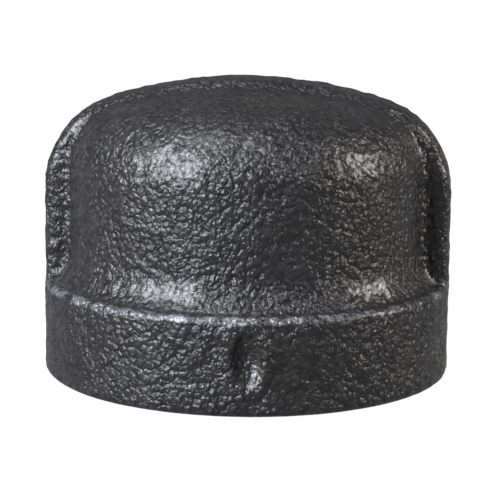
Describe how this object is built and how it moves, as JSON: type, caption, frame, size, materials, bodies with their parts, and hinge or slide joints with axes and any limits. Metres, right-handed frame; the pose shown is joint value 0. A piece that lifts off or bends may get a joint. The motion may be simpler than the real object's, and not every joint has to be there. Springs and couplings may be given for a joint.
{
  "type": "threaded pipe cap",
  "caption": "Banded malleable-iron pipe cap, NPS 1/2, female NPT thread, domed crown with a hoop rib.",
  "frame": {"origin": "centre of the machined mouth face, on the thread axis", "axes": "+Z along the cap's axis from the mouth to the crown, +X along the hoop rib, -Y the side with the cast dimple"},
  "size_m": [0.0304, 0.0304, 0.0221],
  "materials": {
    "black_iron": "sand-cast skin with a thin oily black coat"
  },
  "bodies": {
    "root": {"cap_casting": "black_iron"}
  },
  "joints": []
}
